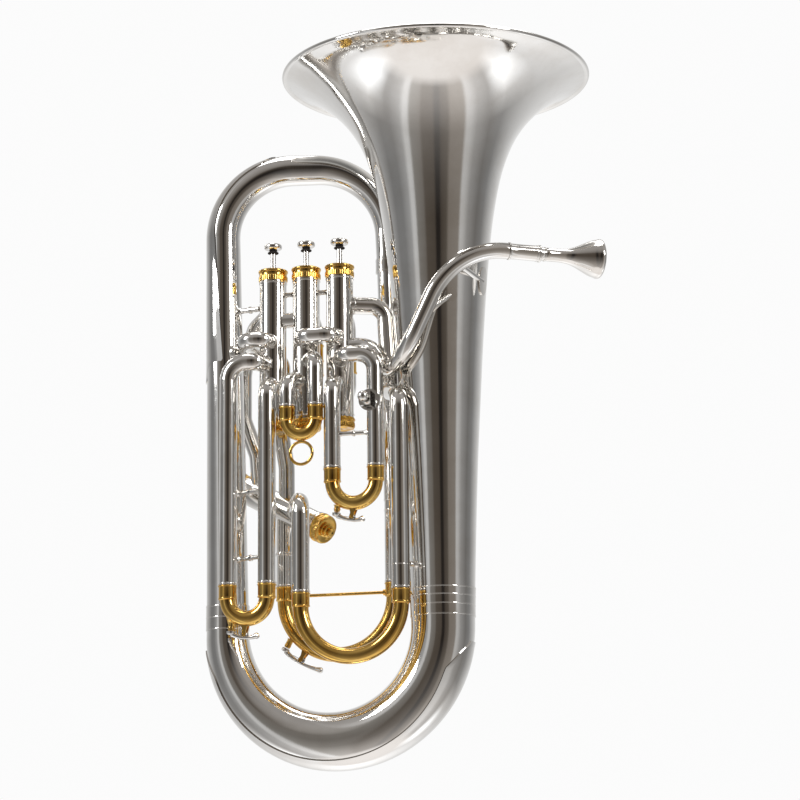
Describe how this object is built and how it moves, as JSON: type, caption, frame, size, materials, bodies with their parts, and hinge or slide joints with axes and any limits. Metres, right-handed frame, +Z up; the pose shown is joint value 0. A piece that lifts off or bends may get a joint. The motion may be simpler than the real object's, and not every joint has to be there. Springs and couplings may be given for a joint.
{
  "type": "tenor tuba",
  "caption": "Compensating tenor tuba with three top valves, a slanting side valve, gold-trimmed slides, water keys and a removable mouthpiece.",
  "frame": {"origin": "lowest point of the bottom bow, under the middle of its width, where a stand cradles the instrument", "axes": "+Z up along the bell, +X from the valves towards the bell and the mouthpiece, -Y towards the front with the slides and the leadpipe"},
  "size_m": [0.412, 0.3048, 0.682],
  "materials": {
    "silver_plate": "polished",
    "gold_plate": "polished"
  },
  "bodies": {
    "instrument": {"bell": "silver_plate", "body_braces": "silver_plate", "bottom_bow": "silver_plate", "bottom_guard": "silver_plate", "bow_ferrules": "silver_plate", "clip_socket": "silver_plate", "compensating_bows": "gold_plate", "compensating_loops": "silver_plate", "compensating_return": "silver_plate", "first_sleeve_brace": "silver_plate", "first_slide_sleeves": "silver_plate", "fourth_feed_tube": "silver_plate", "fourth_slide_sleeves": "silver_plate", "inner_branch": "silver_plate", "leadpipe": "silver_plate", "leadpipe_braces": "silver_plate", "leadpipe_entry": "silver_plate", "leadpipe_ferrule": "silver_plate", "main_slide_sleeves": "silver_plate", "mouthpiece_receiver": "silver_plate", "outer_branch": "silver_plate", "second_slide_sleeves": "silver_plate", "side_guard": "silver_plate", "third_slide_sleeves": "silver_plate", "top_bow": "silver_plate", "valve_bottom_caps": "gold_plate", "valve_casing_1": "silver_plate", "valve_casing_2": "silver_plate", "valve_casing_3": "silver_plate", "valve_casing_4": "silver_plate", "valve_knuckles": "silver_plate", "valve_spacers": "silver_plate", "valve_top_caps": "gold_plate"},
    "piston_body_1": {"piston_1": "silver_plate", "stem_1": "silver_plate"},
    "piston_body_2": {"piston_2": "silver_plate", "stem_2": "silver_plate"},
    "piston_body_3": {"piston_3": "silver_plate", "stem_3": "silver_plate"},
    "piston_body_4": {"piston_4": "silver_plate", "stem_4": "silver_plate"},
    "first_slide": {"first_slide_legs": "silver_plate", "first_slide_bow": "gold_plate"},
    "second_slide": {"second_slide_legs": "silver_plate", "second_slide_bow": "gold_plate", "second_pull_ring": "gold_plate"},
    "third_slide": {"third_slide_legs": "silver_plate", "third_slide_bow": "gold_plate"},
    "fourth_slide": {"fourth_slide_legs": "silver_plate", "fourth_slide_bow": "gold_plate"},
    "main_slide": {"main_slide_legs": "silver_plate", "main_slide_bow": "gold_plate", "main_slide_brace": "gold_plate"},
    "first_key": {"first_water_key": "silver_plate"},
    "third_key": {"third_water_key": "silver_plate"},
    "main_key": {"main_water_key": "silver_plate"},
    "mouthpiece_body": {"mouthpiece": "silver_plate"},
    "clip_screw_body": {"clip_screw": "silver_plate"}
  },
  "joints": [
    {"name": "valve_1_press", "type": "slide", "parent": "instrument", "child": "piston_body_1", "axis": [0, 0, -1], "range_m": [0, 0.017], "stiffness_N_per_m": 180, "springref_m": -0.02},
    {"name": "valve_2_press", "type": "slide", "parent": "instrument", "child": "piston_body_2", "axis": [0, 0, -1], "range_m": [0, 0.017], "stiffness_N_per_m": 180, "springref_m": -0.02},
    {"name": "valve_3_press", "type": "slide", "parent": "instrument", "child": "piston_body_3", "axis": [0, 0, -1], "range_m": [0, 0.017], "stiffness_N_per_m": 180, "springref_m": -0.02},
    {"name": "valve_4_press", "type": "slide", "parent": "instrument", "child": "piston_body_4", "axis": [0.82, -0.36, -0.445], "range_m": [0, 0.017], "stiffness_N_per_m": 180, "springref_m": -0.02},
    {"name": "first_slide_pull", "type": "slide", "parent": "instrument", "child": "first_slide", "axis": [0, 0, -1], "range_m": [0, 0.055]},
    {"name": "second_slide_pull", "type": "slide", "parent": "instrument", "child": "second_slide", "axis": [0, 0, -1], "range_m": [0, 0.012]},
    {"name": "third_slide_pull", "type": "slide", "parent": "instrument", "child": "third_slide", "axis": [0, 0, -1], "range_m": [0, 0.09]},
    {"name": "fourth_slide_pull", "type": "slide", "parent": "instrument", "child": "fourth_slide", "axis": [0, 0, -1], "range_m": [0, 0.05]},
    {"name": "main_slide_pull", "type": "slide", "parent": "instrument", "child": "main_slide", "axis": [0, 0, -1], "range_m": [0, 0.035]},
    {"name": "mouthpiece_pull", "type": "slide", "parent": "instrument", "child": "mouthpiece_body", "axis": [0.8682, 0.4958, -0.0231], "range_m": [0, 0.03]},
    {"name": "first_key_press", "type": "hinge", "parent": "first_slide", "child": "first_key", "pos_m": [0.0285, -0.042, 0.236], "axis": [0, -1, 0], "range_deg": [0, 11], "stiffness_Nm_per_rad": 0.05, "springref_deg": -20.05},
    {"name": "third_key_press", "type": "hinge", "parent": "third_slide", "child": "third_key", "pos_m": [-0.0795, -0.037, 0.129], "axis": [0, -1, 0], "range_deg": [0, 11], "stiffness_Nm_per_rad": 0.05, "springref_deg": -20.05},
    {"name": "main_key_press", "type": "hinge", "parent": "main_slide", "child": "main_key", "pos_m": [-0.0402, 0.02, 0.1094], "axis": [0, -1, 0], "range_deg": [0, 11], "stiffness_Nm_per_rad": 0.05, "springref_deg": -20.05},
    {"name": "clip_screw_turn", "type": "hinge", "parent": "instrument", "child": "clip_screw_body", "pos_m": [0.0465, -0.062, 0.347], "axis": [0, -1, 0], "continuous": true}
  ]
}
